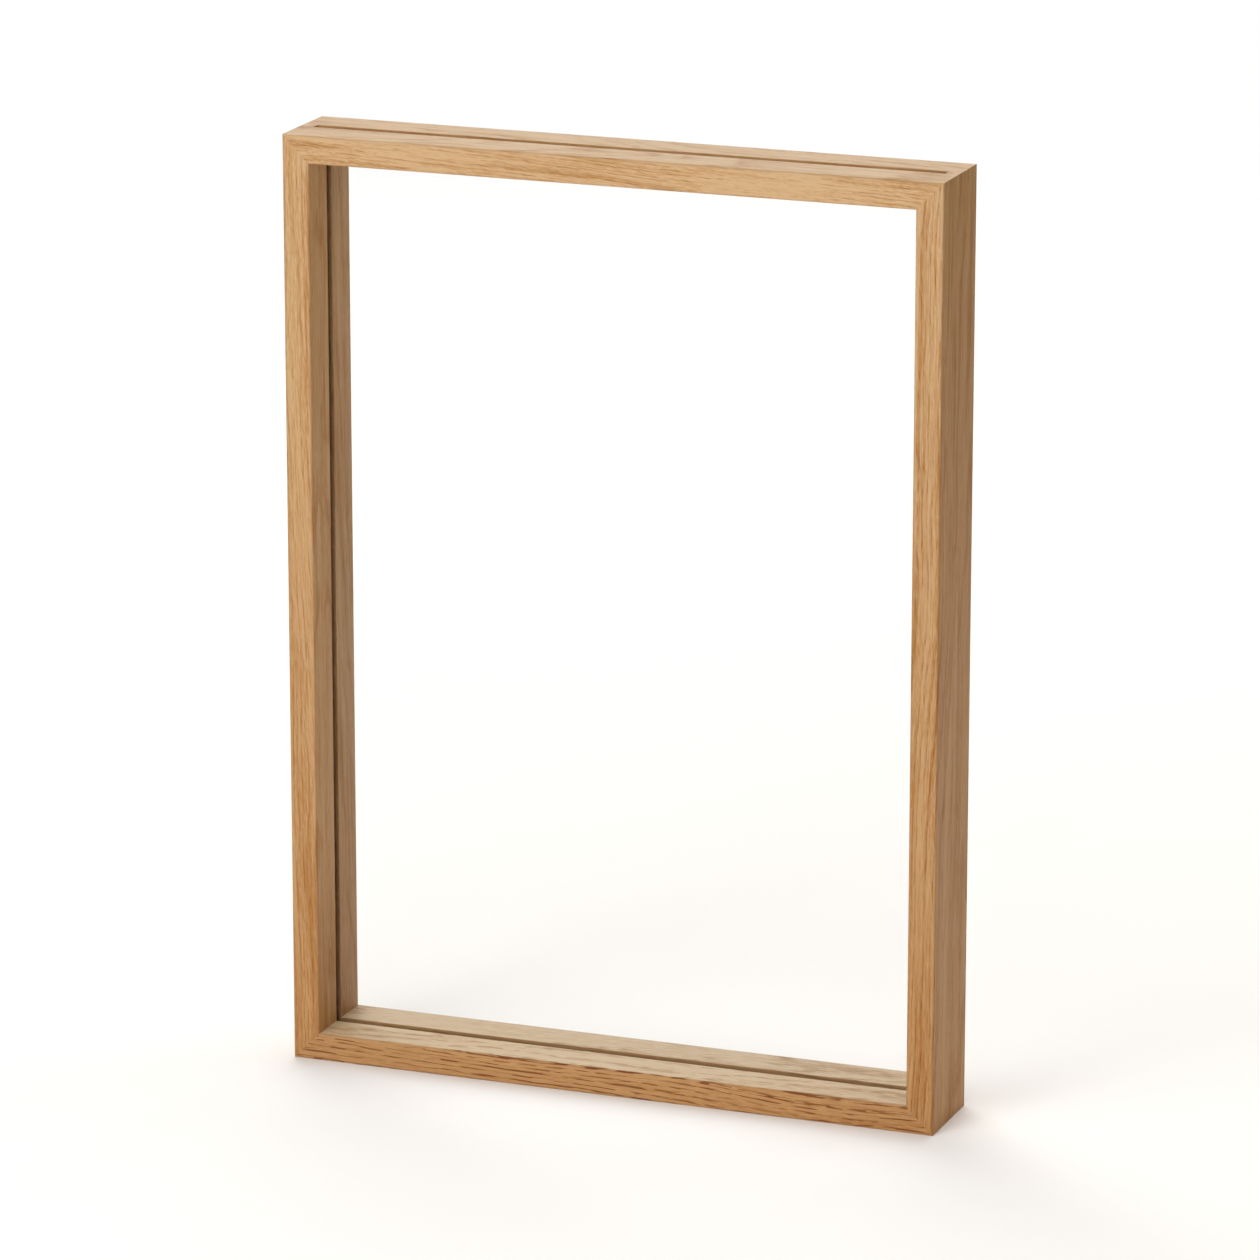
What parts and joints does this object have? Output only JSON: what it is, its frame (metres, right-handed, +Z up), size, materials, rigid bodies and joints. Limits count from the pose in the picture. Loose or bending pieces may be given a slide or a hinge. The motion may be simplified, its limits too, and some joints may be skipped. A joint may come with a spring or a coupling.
{
  "type": "shadow box frame",
  "caption": "Slim free-standing mitred oak frame, open from front and back, with a slot along its top that clear sheets drop into to hold flat or pressed items.",
  "frame": {"origin": "middle of the frame's underside, on the surface it stands on", "axes": "+Z up along the stiles, +X to the right as seen from the front, the front faces -Y"},
  "size_m": [0.22, 0.033, 0.307],
  "materials": {
    "oak": "satin",
    "clear_sheet": "polished clear acrylic",
    "dowel": "raw"
  },
  "bodies": {
    "frame": {"top_rail": "oak", "bottom_rail": "oak", "left_stile": "oak", "right_stile": "oak", "top_left_front_dowel": "dowel", "top_left_rear_dowel": "dowel", "top_right_front_dowel": "dowel", "top_right_rear_dowel": "dowel", "bottom_left_front_dowel": "dowel", "bottom_left_rear_dowel": "dowel", "bottom_right_front_dowel": "dowel", "bottom_right_rear_dowel": "dowel"},
    "front_sheet": {"front_sheet": "clear_sheet"},
    "rear_sheet": {"rear_sheet": "clear_sheet"}
  },
  "joints": [
    {"name": "front_sheet_lift", "type": "slide", "parent": "frame", "child": "front_sheet", "axis": [0, 0, 1], "range_m": [0, 0.305]},
    {"name": "rear_sheet_lift", "type": "slide", "parent": "frame", "child": "rear_sheet", "axis": [0, 0, 1], "range_m": [0, 0.305]}
  ]
}
